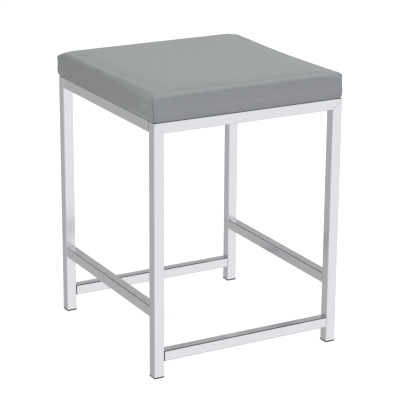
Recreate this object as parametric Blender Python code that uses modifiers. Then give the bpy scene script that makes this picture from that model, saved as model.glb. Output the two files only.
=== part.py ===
"""Vanity stool: a welded frame of square steel tube that carries an upholstered seat pad.

Units are metres. The origin lies on the floor under the middle of the seat, +Z is up,
-Y is the front of the stool and -X its left side, seen from the front.
"""

import math

import bmesh
import bpy

# Frame of square tube
FRAME_WIDTH = 0.390
FRAME_DEPTH = 0.400
FRAME_HEIGHT = 0.4815
TUBE_SIDE = 0.020
TUBE_WALL = 0.0012
TUBE_CORNER = 0.0012
TUBE_BORE_CORNER = 0.0006
CROSS_STRETCHER_HEIGHT = 0.0315
SIDE_STRETCHER_HEIGHT = 0.116
WELD_GAP = 0.0003

# Plastic glides pushed into the open ends of the legs
GLIDE_FLANGE = 0.0025
GLIDE_OVERHANG = 0.0003
GLIDE_CHAMFER = 0.0006
GLIDE_PLUG_LENGTH = 0.018
GLIDE_PLUG_WALL = 0.0018
GLIDE_FLOOR = 0.0015
GLIDE_FIN_COUNT = 3
GLIDE_FIN_THICKNESS = 0.0012
GLIDE_FIN_REACH = 0.0014

# Plates welded into the top corners, and the hardware that holds the pad on them
PLATE_LEG = 0.056
PLATE_TIP = 0.008
PLATE_THICKNESS = 0.0025
SCREW_DIAMETER = 0.006
SCREW_CLEARANCE = 0.0004
SCREW_MARGIN = 0.010
SCREW_TIP_RECESS = 0.001
SCREW_TIP_CHAMFER = 0.0007
HEAD_DIAMETER = 0.0105
HEAD_HEIGHT = 0.0033
HEAD_RIM = 0.0008
HEAD_FLAT_DIAMETER = 0.0062
SOCKET_ACROSS_FLATS = 0.004
SOCKET_DEPTH = 0.002
WASHER_DIAMETER = 0.014
WASHER_THICKNESS = 0.0014
TEE_BARREL_DIAMETER = 0.0085
TEE_BARREL_RECESS = 0.003
TEE_FLANGE_DIAMETER = 0.019
TEE_FLANGE = 0.0014

# Seat pad: board, foam, cover and the cloth that closes it from below
SEAT_OVERHANG = 0.002
BOARD_THICKNESS = 0.012
BOARD_CORNER = 0.007
BOARD_EDGE = 0.0012
FOAM_THICKNESS = 0.034
FOAM_EDGE = 0.010
FOAM_CROWN = 0.003
SIDE_DRAW = 0.0012
SEAM_DEPTH = 0.0007
COVER_THICKNESS = 0.001
DUST_COVER_THICKNESS = 0.0006
DUST_COVER_MARGIN = 0.004
DUST_COVER_LAP = 0.006
DUST_COVER_CORNER = 0.006

# Gap between pieces that seat on each other
FIT_GAP = 0.0003

# How finely the round forms are faceted
TUBE_CORNER_STEPS = 3
PAD_CORNER_STEPS = 4
PAD_SIDE_STEPS = 6
BOTTOM_EDGE_STEPS = 2
TOP_EDGE_STEPS = 4
CROWN_RINGS = 4
DOME_STEPS = 3
ROUND_STEPS = 16
HEXAGON_STEPS = 6
SMOOTH_BELOW = math.radians(35)
MERGE_DISTANCE = 0.000001

# Levels, from the floor up
LEG_BOTTOM = GLIDE_FLANGE + FIT_GAP
RAIL_LEVEL = FRAME_HEIGHT - TUBE_SIDE / 2
HEM_LEVEL = FRAME_HEIGHT + FIT_GAP
WRAP = COVER_THICKNESS + FIT_GAP
BOARD_LEVEL = HEM_LEVEL + WRAP
BOARD_TOP = BOARD_LEVEL + BOARD_THICKNESS
FOAM_LEVEL = BOARD_TOP + FIT_GAP
FOAM_TOP = FOAM_LEVEL + FOAM_THICKNESS

# Levels, from the hem down
DUST_COVER_LEVEL = HEM_LEVEL - FIT_GAP - DUST_COVER_THICKNESS
PLATE_TOP = DUST_COVER_LEVEL - FIT_GAP
WASHER_TOP = PLATE_TOP - PLATE_THICKNESS - FIT_GAP
HEAD_TOP = WASHER_TOP - WASHER_THICKNESS - FIT_GAP

# Spans in plan
LEG_X = (FRAME_WIDTH - TUBE_SIDE) / 2
LEG_Y = (FRAME_DEPTH - TUBE_SIDE) / 2
INNER_X = FRAME_WIDTH / 2 - TUBE_SIDE
INNER_Y = FRAME_DEPTH / 2 - TUBE_SIDE
CORE_X = FRAME_WIDTH / 2 + SEAT_OVERHANG - WRAP
CORE_Y = FRAME_DEPTH / 2 + SEAT_OVERHANG - WRAP
HEM_REACH = DUST_COVER_MARGIN + DUST_COVER_LAP
HEM_WIDTH = TUBE_SIDE + SEAT_OVERHANG + HEM_REACH
SCREW_INSET = HEM_REACH + SCREW_MARGIN
SCREW_X = INNER_X - SCREW_INSET
SCREW_Y = INNER_Y - SCREW_INSET
SCREW_HOLE = SCREW_DIAMETER / 2 + SCREW_CLEARANCE

# Sides of X and Y of the four quarters of an outline, anticlockwise from +X +Y
QUARTERS = ((1, 1), (-1, 1), (-1, -1), (1, -1))

# The four corners of the stool, anticlockwise: name, side of X, side of Y
CORNERS = (
    ("front_left", -1, -1),
    ("front_right", 1, -1),
    ("rear_right", 1, 1),
    ("rear_left", -1, 1),
)


def clear_scene():
    for obj in list(bpy.data.objects):
        bpy.data.objects.remove(obj)


def new_collection(name):
    collection = bpy.data.collections.new(name)
    bpy.context.scene.collection.children.link(collection)
    return collection


def new_material(name, colour, roughness, metallic=0.0):
    material = bpy.data.materials.new(name)
    material.use_nodes = True
    shader = material.node_tree.nodes["Principled BSDF"]
    shader.inputs["Base Color"].default_value = (*colour, 1.0)
    shader.inputs["Roughness"].default_value = roughness
    shader.inputs["Metallic"].default_value = metallic
    return material


def new_object(name, mesh, material, location=(0, 0, 0), rotation=(0, 0, 0)):
    mesh.shade_smooth()
    mesh.set_sharp_from_angle(angle=SMOOTH_BELOW)
    if material:
        mesh.materials.append(material)
    obj = bpy.data.objects.new(name, mesh)
    obj.location = location
    obj.rotation_euler = rotation
    obj.parent = stool
    parts.objects.link(obj)
    return obj


def cut(obj, cutter):
    """Takes a cutter's shape out of an object, and hides the cutter."""
    parts.objects.unlink(cutter)
    cutters.objects.link(cutter)
    cutter.hide_render = True
    cutter.display_type = "WIRE"
    boolean = obj.modifiers.new("Cut", "BOOLEAN")
    boolean.operation = "DIFFERENCE"
    boolean.object = cutter


def circle(radius, steps, centre=(0.0, 0.0)):
    turns = (2 * math.pi * i / steps for i in range(steps))
    return [(centre[0] + radius * math.cos(a), centre[1] + radius * math.sin(a)) for a in turns]


def arc(centre, radius, start, steps):
    """Points of a quarter turn, anticlockwise from the start angle."""
    angles = (start + math.pi / 2 * i / steps for i in range(steps + 1))
    return [(centre[0] + radius * math.cos(a), centre[1] + radius * math.sin(a)) for a in angles]


def rounded_rectangle(half_x, half_y, radius):
    points = []
    for quarter, (sx, sy) in enumerate(QUARTERS):
        centre = (sx * (half_x - radius), sy * (half_y - radius))
        points += arc(centre, radius, quarter * math.pi / 2, TUBE_CORNER_STEPS)
    return points


def rounded_square(half, radius):
    return rounded_rectangle(half, half, radius)


def extruded(name, outlines, thickness):
    """A mesh made from a flat outline and the outlines of its holes, centred on Z = 0."""
    curve = bpy.data.curves.new(name, "CURVE")
    curve.dimensions = "2D"
    curve.fill_mode = "BOTH"
    curve.extrude = thickness / 2
    for outline in outlines:
        spline = curve.splines.new("POLY")
        spline.points.add(len(outline) - 1)
        for point, (x, y) in zip(spline.points, outline):
            point.co = (x, y, 0, 1)
        spline.use_cyclic_u = True
    guide = bpy.data.objects.new(name, curve)
    parts.objects.link(guide)
    graph = bpy.context.evaluated_depsgraph_get()
    mesh = bpy.data.meshes.new_from_object(guide.evaluated_get(graph))
    bpy.data.objects.remove(guide)
    bm = bmesh.new()
    bm.from_mesh(mesh)
    bmesh.ops.remove_doubles(bm, verts=bm.verts, dist=MERGE_DISTANCE)
    bmesh.ops.recalc_face_normals(bm, faces=bm.faces)
    bm.to_mesh(mesh)
    bm.free()
    return mesh


def lofted(name, rings, open_start=False):
    """A mesh that joins rings of equally many points, from the first ring to the last."""
    bm = bmesh.new()
    loops = [[bm.verts.new(point) for point in ring] for ring in rings]
    for lower, upper in zip(loops, loops[1:]):
        for i in range(len(lower)):
            bm.faces.new((lower[i - 1], lower[i], upper[i], upper[i - 1]))
    if not open_start:
        bm.faces.new(reversed(loops[0]))
    bm.faces.new(loops[-1])
    mesh = bpy.data.meshes.new(name)
    bm.to_mesh(mesh)
    bm.free()
    return mesh


def turned(name, profile, material, location, closed=False):
    """A round piece whose (radius, height) profile runs down its outer side."""
    mesh = bpy.data.meshes.new(name)
    edges = [(i, i + 1) for i in range(len(profile) - 1)]
    if closed:
        edges.append((len(profile) - 1, 0))
    mesh.from_pydata([(radius, 0, height) for radius, height in profile], edges, [])
    obj = new_object(name, mesh, material, location)
    screw = obj.modifiers.new("Turn", "SCREW")
    screw.steps = ROUND_STEPS
    screw.render_steps = ROUND_STEPS
    screw.use_merge_vertices = True
    screw.merge_threshold = MERGE_DISTANCE
    return obj


def square_tube(name, length, location, rotation=(0, 0, 0), mitre_start=False, mitre_end=False):
    """A square tube along its own Z. A mitred end is cut at 45 degrees, longest on the -X side."""
    half = TUBE_SIDE / 2
    outer = rounded_square(half, TUBE_CORNER)
    inner = rounded_square(half - TUBE_WALL, TUBE_BORE_CORNER)
    mesh = extruded(name, [outer, inner], length)
    weld_setback = WELD_GAP / math.sqrt(2)
    for vertex in mesh.vertices:
        shorter = vertex.co.x + half + weld_setback
        if mitre_end and vertex.co.z > 0:
            vertex.co.z -= shorter
        if mitre_start and vertex.co.z < 0:
            vertex.co.z += shorter
    return new_object(name, mesh, chrome, location, rotation)


def make_legs():
    """Legs whose mitred tops meet the front and rear rails."""
    length = FRAME_HEIGHT - LEG_BOTTOM
    for corner, sx, sy in CORNERS:
        place = (sx * LEG_X, sy * LEG_Y, LEG_BOTTOM + length / 2)
        turn = (0, 0, math.pi if sx > 0 else 0)
        square_tube(f"leg_{corner}", length, place, turn, mitre_end=True)


def make_cross_members():
    """The front and rear rails, mitred to the legs, and the stretchers low down between them."""
    along_x = (0, math.pi / 2, 0)
    length = 2 * (INNER_X - WELD_GAP)
    level = CROSS_STRETCHER_HEIGHT + TUBE_SIDE / 2
    for side, sy in (("front", -1), ("rear", 1)):
        y = sy * LEG_Y
        square_tube(f"top_rail_{side}", FRAME_WIDTH, (0, y, RAIL_LEVEL), along_x, True, True)
        square_tube(f"stretcher_{side}", length, (0, y, level), along_x)


def make_side_members():
    """The side rails and the side stretchers, butted between the front and rear legs."""
    along_y = (math.pi / 2, 0, 0)
    length = 2 * (INNER_Y - WELD_GAP)
    level = SIDE_STRETCHER_HEIGHT + TUBE_SIDE / 2
    for side, sx in (("left", -1), ("right", 1)):
        x = sx * LEG_X
        square_tube(f"top_rail_{side}", length, (x, 0, RAIL_LEVEL), along_y)
        square_tube(f"stretcher_{side}", length, (x, 0, level), along_y)


def glide_rings():
    """Sections of a glide: its chamfered foot, its plug with fins, then the hollow inside the plug."""
    flange = TUBE_SIDE / 2 + GLIDE_OVERHANG
    fin = TUBE_SIDE / 2 - TUBE_WALL - FIT_GAP
    plug = fin - GLIDE_FIN_REACH
    hollow = plug - GLIDE_PLUG_WALL
    plug_top = GLIDE_FLANGE + GLIDE_PLUG_LENGTH
    sections = [
        (flange - GLIDE_CHAMFER, 0, TUBE_CORNER),
        (flange, GLIDE_CHAMFER, TUBE_CORNER),
        (flange, GLIDE_FLANGE, TUBE_CORNER),
        (plug, GLIDE_FLANGE, TUBE_BORE_CORNER),
    ]
    pitch = GLIDE_PLUG_LENGTH / (GLIDE_FIN_COUNT + 1)
    for number in range(1, GLIDE_FIN_COUNT + 1):
        middle = GLIDE_FLANGE + number * pitch
        sections += [
            (plug, middle - GLIDE_FIN_THICKNESS / 2, TUBE_BORE_CORNER),
            (fin, middle, TUBE_BORE_CORNER),
            (plug, middle + GLIDE_FIN_THICKNESS / 2, TUBE_BORE_CORNER),
        ]
    sections += [
        (plug, plug_top, TUBE_BORE_CORNER),
        (hollow, plug_top, TUBE_BORE_CORNER),
        (hollow, GLIDE_FLOOR, TUBE_BORE_CORNER),
    ]
    return [[(x, y, height) for x, y in rounded_square(half, radius)] for half, height, radius in sections]


def make_glides():
    for corner, sx, sy in CORNERS:
        name = f"glide_{corner}"
        new_object(name, lofted(name, glide_rings()), black_plastic, (sx * LEG_X, sy * LEG_Y, 0))


def make_corner_plates():
    """Triangular plates in the inside corners of the top rails, each with a hole for its screw."""
    outline = [
        (0, 0),
        (PLATE_LEG, 0),
        (PLATE_LEG, PLATE_TIP),
        (PLATE_TIP, PLATE_LEG),
        (0, PLATE_LEG),
    ]
    hole_place = SCREW_INSET - WELD_GAP
    hole = circle(SCREW_HOLE, ROUND_STEPS, (hole_place, hole_place))
    level = PLATE_TOP - PLATE_THICKNESS / 2
    for quarter, (corner, sx, sy) in enumerate(CORNERS):
        name = f"corner_plate_{corner}"
        place = (sx * (INNER_X - WELD_GAP), sy * (INNER_Y - WELD_GAP), level)
        mesh = extruded(name, [outline, hole], PLATE_THICKNESS)
        new_object(name, mesh, chrome, place, (0, 0, quarter * math.pi / 2))


def screw_profile():
    """A button-head screw from its tip down to its head, with the underside of the head at height 0."""
    shank = SCREW_DIAMETER / 2
    head = HEAD_DIAMETER / 2
    flat = HEAD_FLAT_DIAMETER / 2
    length = BOARD_TOP - SCREW_TIP_RECESS - HEAD_TOP
    profile = [
        (0, length),
        (shank - SCREW_TIP_CHAMFER, length),
        (shank, length - SCREW_TIP_CHAMFER),
        (shank, 0),
        (head, 0),
    ]
    for step in range(DOME_STEPS + 1):
        angle = math.pi / 2 * step / DOME_STEPS
        radius = flat + (head - flat) * math.cos(angle)
        profile.append((radius, -HEAD_RIM - (HEAD_HEIGHT - HEAD_RIM) * math.sin(angle)))
    profile.append((0, -HEAD_HEIGHT))
    return profile


def make_screws():
    """Screws driven up through the plates into the tee nuts, each with a hexagon socket in its head."""
    socket_radius = SOCKET_ACROSS_FLATS / 2 / math.cos(math.pi / HEXAGON_STEPS)
    for corner, sx, sy in CORNERS:
        x = sx * SCREW_X
        y = sy * SCREW_Y
        screw = turned(f"seat_screw_{corner}", screw_profile(), zinc_steel, (x, y, HEAD_TOP))
        hexagon = circle(socket_radius, HEXAGON_STEPS)
        name = f"socket_cutter_{corner}"
        socket = extruded(name, [hexagon], 2 * SOCKET_DEPTH)
        cut(screw, new_object(name, socket, None, (x, y, HEAD_TOP - HEAD_HEIGHT)))


def make_washers():
    rim = WASHER_DIAMETER / 2
    profile = [
        (SCREW_HOLE, 0),
        (rim, 0),
        (rim, -WASHER_THICKNESS),
        (SCREW_HOLE, -WASHER_THICKNESS),
    ]
    for corner, sx, sy in CORNERS:
        place = (sx * SCREW_X, sy * SCREW_Y, WASHER_TOP)
        turned(f"washer_{corner}", profile, zinc_steel, place, closed=True)


def make_tee_nuts():
    """Flanged nuts let into the top of the board."""
    barrel = TEE_BARREL_DIAMETER / 2
    flange = TEE_FLANGE_DIAMETER / 2
    barrel_length = BOARD_THICKNESS - TEE_BARREL_RECESS
    profile = [
        (SCREW_HOLE, 0),
        (flange, 0),
        (flange, -TEE_FLANGE),
        (barrel, -TEE_FLANGE),
        (barrel, -barrel_length),
        (SCREW_HOLE, -barrel_length),
    ]
    for corner, sx, sy in CORNERS:
        place = (sx * SCREW_X, sy * SCREW_Y, BOARD_TOP)
        turned(f"tee_nut_{corner}", profile, zinc_steel, place, closed=True)


def pad_ring(height, offset=0.0, inset=0.0, draw=0.0, seam=0.0):
    """One level outline of the pad: the core's plan grown by offset, then shrunk by inset.

    draw pulls the middle of each side inwards, and seam sinks the middle of each corner.
    """
    half_x = CORE_X + offset - inset
    half_y = CORE_Y + offset - inset
    radius = BOARD_CORNER + offset
    points = []
    for quarter, (sx, sy) in enumerate(QUARTERS):
        centre_x = sx * (half_x - radius)
        centre_y = sy * (half_y - radius)
        corner = arc((centre_x, centre_y), radius, quarter * math.pi / 2, PAD_CORNER_STEPS)
        middle = PAD_CORNER_STEPS // 2
        sunk = seam / math.sqrt(2)
        corner[middle] = (corner[middle][0] - sx * sunk, corner[middle][1] - sy * sunk)
        points += corner
        along_x = quarter % 2 == 0
        for step in range(1, PAD_SIDE_STEPS):
            share = step / PAD_SIDE_STEPS
            inward = draw * 4 * share * (1 - share)
            if along_x:
                points.append((centre_x * (1 - 2 * share), sy * (half_y - inward)))
            else:
                points.append((sx * (half_x - inward), centre_y * (1 - 2 * share)))
    return [(x, y, height) for x, y in points]


def bottom_edge_rings(offset):
    """The rounded lower edge of the board, or of the cover that wraps it."""
    radius = BOARD_EDGE + offset
    rings = []
    for step in range(BOTTOM_EDGE_STEPS + 1):
        angle = math.pi / 2 * step / BOTTOM_EDGE_STEPS
        inset = radius * (1 - math.sin(angle))
        height = BOARD_LEVEL + BOARD_EDGE - radius * math.cos(angle)
        rings.append(pad_ring(height, offset, inset))
    return rings


def foam_rings(offset):
    """The foam's drawn-in side, rounded upper edge and crowned top, or the cover's over them."""
    radius = FOAM_EDGE + offset
    edge_level = FOAM_TOP - FOAM_EDGE
    middle_level = (FOAM_LEVEL + edge_level) / 2
    rings = [pad_ring(middle_level, offset, draw=SIDE_DRAW, seam=SEAM_DEPTH)]
    for step in range(TOP_EDGE_STEPS + 1):
        angle = math.pi / 2 * step / TOP_EDGE_STEPS
        inset = radius * (1 - math.cos(angle))
        height = edge_level + radius * math.sin(angle)
        rings.append(pad_ring(height, offset, inset, seam=SEAM_DEPTH * math.cos(angle)))
    crown_run = min(CORE_X, CORE_Y) - FOAM_EDGE
    for number in range(1, CROWN_RINGS + 1):
        share = number / (CROWN_RINGS + 1)
        rise = FOAM_CROWN * (1 - (1 - share) ** 2)
        rings.append(pad_ring(FOAM_TOP + offset + rise, offset, radius + share * crown_run))
    return rings


def make_seat_board():
    """The plywood board, with a stepped hole for each tee nut."""
    rings = bottom_edge_rings(0.0) + [pad_ring(BOARD_TOP)]
    board = new_object("seat_board", lofted("seat_board", rings), plywood)
    barrel = TEE_BARREL_DIAMETER / 2 + FIT_GAP
    flange = TEE_FLANGE_DIAMETER / 2 + FIT_GAP
    step_level = -TEE_FLANGE - FIT_GAP
    overshoot = BOARD_THICKNESS / 2
    pocket = [
        (0, overshoot),
        (flange, overshoot),
        (flange, step_level),
        (barrel, step_level),
        (barrel, -BOARD_THICKNESS - overshoot),
        (0, -BOARD_THICKNESS - overshoot),
    ]
    for corner, sx, sy in CORNERS:
        place = (sx * SCREW_X, sy * SCREW_Y, BOARD_TOP)
        cut(board, turned(f"pocket_cutter_{corner}", pocket, None, place))


def make_seat_foam():
    rings = [pad_ring(FOAM_LEVEL)] + foam_rings(0.0)
    new_object("seat_foam", lofted("seat_foam", rings), foam)


def make_seat_cover():
    """A vinyl skin over the foam, seamed at its corners and turned under the board as a hem."""
    hem_edge = pad_ring(HEM_LEVEL, WRAP, HEM_WIDTH)
    board_top = pad_ring(BOARD_TOP, WRAP)
    rings = [hem_edge] + bottom_edge_rings(WRAP) + [board_top] + foam_rings(WRAP)
    cover = new_object("seat_cover", lofted("seat_cover", rings, open_start=True), vinyl)
    skin = cover.modifiers.new("Skin", "SOLIDIFY")
    skin.thickness = COVER_THICKNESS
    skin.offset = -1
    skin.use_even_offset = True


def make_dust_cover():
    """Thin black cloth that laps the hem, with a hole round each screw."""
    half_x = INNER_X - DUST_COVER_MARGIN
    half_y = INNER_Y - DUST_COVER_MARGIN
    outline = rounded_rectangle(half_x, half_y, DUST_COVER_CORNER)
    holes = [circle(SCREW_HOLE, ROUND_STEPS, (sx * SCREW_X, sy * SCREW_Y)) for _, sx, sy in CORNERS]
    mesh = extruded("dust_cover", [outline, *holes], DUST_COVER_THICKNESS)
    new_object("dust_cover", mesh, black_cloth, (0, 0, DUST_COVER_LEVEL + DUST_COVER_THICKNESS / 2))


clear_scene()
parts = new_collection("vanity_stool")
cutters = new_collection("cutters")
stool = bpy.data.objects.new("stool_origin", None)
parts.objects.link(stool)

chrome = new_material("chrome", (0.78, 0.79, 0.80), 0.18, 1.0)
black_plastic = new_material("black_plastic", (0.03, 0.03, 0.03), 0.5)
zinc_steel = new_material("zinc_steel", (0.62, 0.63, 0.65), 0.35, 1.0)
plywood = new_material("plywood", (0.58, 0.42, 0.26), 0.7)
foam = new_material("foam", (0.80, 0.74, 0.52), 0.9)
vinyl = new_material("grey_vinyl", (0.34, 0.36, 0.355), 0.45)
black_cloth = new_material("black_cloth", (0.02, 0.02, 0.02), 0.95)

make_legs()
make_cross_members()
make_side_members()
make_glides()
make_corner_plates()
make_screws()
make_washers()
make_tee_nuts()
make_seat_board()
make_seat_foam()
make_seat_cover()
make_dust_cover()
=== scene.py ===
# %% [markdown]
# # A vanity stool in chrome and grey vinyl
# The stool is a welded frame of square steel tube, chrome plated, with an upholstered seat
# pad screwed down on it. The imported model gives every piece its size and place. This lesson
# dresses it: finer tubes, a cover with real seams, and a finish for every surface.
# Everything is in metres, +Z is up, and the front of the stool faces -Y.

# %% Load the frame
import math

import bmesh
import bpy
import numpy as np
from mathutils import Matrix, Vector, noise


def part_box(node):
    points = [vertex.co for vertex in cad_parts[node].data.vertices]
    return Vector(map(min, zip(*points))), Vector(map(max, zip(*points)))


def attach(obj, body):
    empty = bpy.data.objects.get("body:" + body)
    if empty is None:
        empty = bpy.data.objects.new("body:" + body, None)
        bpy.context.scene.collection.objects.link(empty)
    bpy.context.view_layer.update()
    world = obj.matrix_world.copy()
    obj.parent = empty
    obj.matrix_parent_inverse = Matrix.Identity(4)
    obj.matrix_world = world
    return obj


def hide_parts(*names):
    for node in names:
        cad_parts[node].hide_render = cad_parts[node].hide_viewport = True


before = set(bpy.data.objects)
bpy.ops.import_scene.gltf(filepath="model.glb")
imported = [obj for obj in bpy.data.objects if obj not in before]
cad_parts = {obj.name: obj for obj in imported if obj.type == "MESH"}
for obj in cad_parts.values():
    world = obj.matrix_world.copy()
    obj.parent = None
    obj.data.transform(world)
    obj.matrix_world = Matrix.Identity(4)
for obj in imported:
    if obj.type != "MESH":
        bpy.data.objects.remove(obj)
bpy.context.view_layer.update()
scene = bpy.context.scene
MM = 0.001
print("nodes in the frame:", len(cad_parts))

# %% [markdown]
# ## The camera
# The photograph was taken with a long lens, from the front left corner and a little above
# the seat. The angles were found by fitting the corners of the legs and rails, so the
# camera is placed by angles round a point on the stool, and not by eye.

# %% Place the camera
CAMERA_AZIMUTH = math.radians(-28.94)
CAMERA_ELEVATION = math.radians(17.87)
CAMERA_ROLL = math.radians(0.36)
CAMERA_DISTANCE = 3.187
CAMERA_TARGET = Vector((0, -0.014, 0.261))
LENS_MM = 149.5
SENSOR_MM = 36


def place_camera():
    data = bpy.data.cameras.new("camera")
    data.lens = LENS_MM
    data.sensor_width = SENSOR_MM
    camera = bpy.data.objects.new("camera", data)
    scene.collection.objects.link(camera)
    level = math.cos(CAMERA_ELEVATION)
    back = Vector((
        math.sin(CAMERA_AZIMUTH) * level,
        -math.cos(CAMERA_AZIMUTH) * level,
        math.sin(CAMERA_ELEVATION),
    ))
    turn = back.to_track_quat("Z", "Y").to_matrix().to_4x4()
    roll = Matrix.Rotation(CAMERA_ROLL, 4, "Z")
    camera.matrix_world = Matrix.Translation(CAMERA_TARGET + back * CAMERA_DISTANCE) @ turn @ roll
    scene.camera = camera


place_camera()
print("camera at", [round(x, 3) for x in scene.camera.matrix_world.translation])

# %% [markdown]
# ## Nodes, colours and meshes
# Shader trees and Geometry Nodes trees are built with the same small function. It adds one
# node, sets its own settings, and fills its sockets with values or with links. Sums, ranges
# and blends come up all the time, so each has a function that returns the socket to link.
# Colours are written as the hex values that a colour picker shows, so they are turned to
# linear light. A new mesh is filled by a function that is given an empty bmesh.

# %% Nodes
def node(tree, kind, inputs=None, **settings):
    """Add a node. An input takes a value, another node's socket, or a node for its first output."""
    made = tree.nodes.new(kind)
    for name, value in settings.items():
        setattr(made, name, value)
    for socket, value in (inputs or {}).items():
        if isinstance(value, bpy.types.Node):
            value = value.outputs[0]
        if isinstance(value, bpy.types.NodeSocket):
            tree.links.new(value, made.inputs[socket])
        else:
            made.inputs[socket].default_value = value
    return made


def sums_in(tree):
    """A function that adds a sum to this tree."""
    def sums(operation, a, b=0.0):
        return node(tree, "ShaderNodeMath", {0: a, 1: b}, operation=operation).outputs[0]

    return sums


def ranged(tree, value, low, high, at_low=0.0, at_high=1.0, **settings):
    """Turn a value between low and high to one between at_low and at_high."""
    limits = {"Value": value, "From Min": low, "From Max": high, "To Min": at_low, "To Max": at_high}
    return node(tree, "ShaderNodeMapRange", limits, **settings).outputs["Result"]


def either(tree, share, a, b):
    """The number a where the share is 0, and b where it is 1."""
    return node(tree, "ShaderNodeMix", {0: share, 2: a, 3: b}, data_type="FLOAT").outputs[0]


# %% Colours
def colour(hex_value):
    """Linear RGBA of an sRGB hex colour."""
    channels = [int(hex_value[i : i + 2], 16) / 255 for i in (1, 3, 5)]
    linear = [c / 12.92 if c <= 0.04045 else ((c + 0.055) / 1.055) ** 2.4 for c in channels]
    return (*linear, 1.0)


def tint(tree, share, a, b):
    """The colour a where the share is 0, and b where it is 1. Each is a hex colour or a socket."""
    a, b = (colour(end) if isinstance(end, str) else end for end in (a, b))
    return node(tree, "ShaderNodeMix", {0: share, 6: a, 7: b}, data_type="RGBA").outputs[2]


# %% Pieces
def plain_piece(name, build):
    """A new object whose mesh is filled by build(bm)."""
    mesh = bpy.data.meshes.new(name)
    bm = bmesh.new()
    build(bm)
    bm.to_mesh(mesh)
    bm.free()
    piece = bpy.data.objects.new(name, mesh)
    scene.collection.objects.link(piece)
    return piece


def dress(piece, material):
    """Give a piece one finish and smooth shading."""
    piece.data.materials.clear()
    piece.data.materials.append(material)
    piece.data.shade_smooth()


# %% [markdown]
# ## The studio
# Chrome has no colour of its own: it shows the room. So the room is designed first. The
# photograph's front faces are bright, its left and upper faces are mid grey, and every
# upper edge carries a dark line. That means a bright wall behind the camera's right
# shoulder, a mid grey wall opposite, a light one far left, and a ceiling that is nearly
# black and starts higher towards the sides. Only reflections see this room. Everything matt
# is lit by a faint even glow, a softbox overhead and two fills in front, left and right.

# %% Walls of light
BRIGHT_WALL = Vector((0.485, -0.875, 0))
BRIGHT_WALL_EDGE = (0.1, 0.8)
FAR_WALL_EDGE = (-0.45, 0.0)
WALL_BRIGHT = 1.275
WALL_MID = 0.66
WALL_DIM = 0.34
LEFT_WALL = 0.6
LEFT_WALL_EDGE = (0.75, 0.95)
CEILING_SHARE = 0.06
CEILING_EDGE = (0.34, 0.38)
CEILING_SLOPE = 0.3
GLOW = 0.03


def light_the_walls():
    world = bpy.data.worlds.new("soft_studio")
    world.use_nodes = True
    scene.world = world
    tree = world.node_tree
    tree.nodes.clear()
    sums = sums_in(tree)

    def between(value, edge, at_low, at_high):
        return ranged(tree, value, *edge, at_low, at_high, interpolation_type="SMOOTHSTEP")

    direction = node(tree, "ShaderNodeTexCoord").outputs["Generated"]
    towards = node(
        tree, "ShaderNodeVectorMath", {0: direction, 1: BRIGHT_WALL}, operation="DOT_PRODUCT"
    ).outputs["Value"]
    parts = node(tree, "ShaderNodeSeparateXYZ", {0: direction}).outputs
    aside = sums("MULTIPLY", sums("ABSOLUTE", parts["X"]), CEILING_SLOPE)
    above = sums("SUBTRACT", parts["Z"], aside)
    to_left = sums("MULTIPLY", parts["X"], -1.0)
    wall = between(towards, FAR_WALL_EDGE, WALL_MID, WALL_DIM)
    wall = sums("ADD", wall, between(towards, BRIGHT_WALL_EDGE, 0.0, WALL_BRIGHT - WALL_DIM))
    wall = sums("ADD", wall, between(to_left, LEFT_WALL_EDGE, 0.0, LEFT_WALL))
    room = sums("MULTIPLY", wall, between(above, CEILING_EDGE, 1.0, CEILING_SHARE))
    ray = node(tree, "ShaderNodeLightPath").outputs
    lit = either(tree, ray["Is Glossy Ray"], GLOW, room)
    seen = either(tree, ray["Is Camera Ray"], lit, 1.0)
    background = node(tree, "ShaderNodeBackground", {"Strength": seen})
    node(tree, "ShaderNodeOutputWorld", {"Surface": background})


light_the_walls()
print("walls:", WALL_DIM, "to", WALL_BRIGHT)

# %% Softbox, fills and floor
FLOOR_HALF = 14.0
FLOOR_GLOW = 0.96


def hang_light(name, place, size, watts, tone="#ffffff"):
    """A square soft light that points at the stool. It isn't mirrored: shiny things see the room."""
    data = bpy.data.lights.new(name, "AREA")
    data.shape = "SQUARE"
    data.size = size
    data.energy = watts
    data.color = colour(tone)[:3]
    light = bpy.data.objects.new(name, data)
    scene.collection.objects.link(light)
    aim = (place - CAMERA_TARGET).to_track_quat("Z", "Y").to_matrix().to_4x4()
    light.matrix_world = Matrix.Translation(place) @ aim
    light.visible_camera = False
    light.visible_glossy = False


def lay_floor():
    """A pale floor that glows, so shadows stay faint. From below it is clear."""
    material = bpy.data.materials.new("white_studio_sheet")
    material.use_nodes = True
    tree = material.node_tree
    tree.nodes.clear()
    sheet = node(
        tree, "ShaderNodeBsdfPrincipled",
        {"Base Color": colour("#7a7a7a"), "Roughness": 1.0, "Specular IOR Level": 0.0,
         "Emission Color": colour("#ffffff"), "Emission Strength": FLOOR_GLOW},
    )
    clear = node(tree, "ShaderNodeBsdfTransparent")
    below = node(tree, "ShaderNodeNewGeometry").outputs["Backfacing"]
    mixed = node(tree, "ShaderNodeMixShader", {0: below, 1: sheet, 2: clear})
    node(tree, "ShaderNodeOutputMaterial", {"Surface": mixed})
    floor = plain_piece(
        "floor", lambda bm: bmesh.ops.create_grid(bm, x_segments=1, y_segments=1, size=FLOOR_HALF)
    )
    floor.data.materials.append(material)
    floor.visible_glossy = False


scene.view_settings.view_transform = "Standard"
hang_light("softbox", Vector((0.35, -0.55, 4.0)), size=2.6, watts=209)
hang_light("left_fill", Vector((-2.0, -1.3, 0.8)), size=1.2, watts=21.5)
hang_light("cool_fill", Vector((1.3, -2.0, 0.8)), size=1.0, watts=12.5, tone="#dfcdff")
lay_floor()

# %% [markdown]
# ## Chrome plate
# The tubes are polished steel with a bright nickel and chrome plate. The plate is a mirror
# with a faint haze, and it follows the slight waviness that drawing leaves in thin tube.
# A metal's colour is its base colour, and its reflections do the rest.

# %% What finishes share
NOISE_BAND = (0.3, 0.7)


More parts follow.
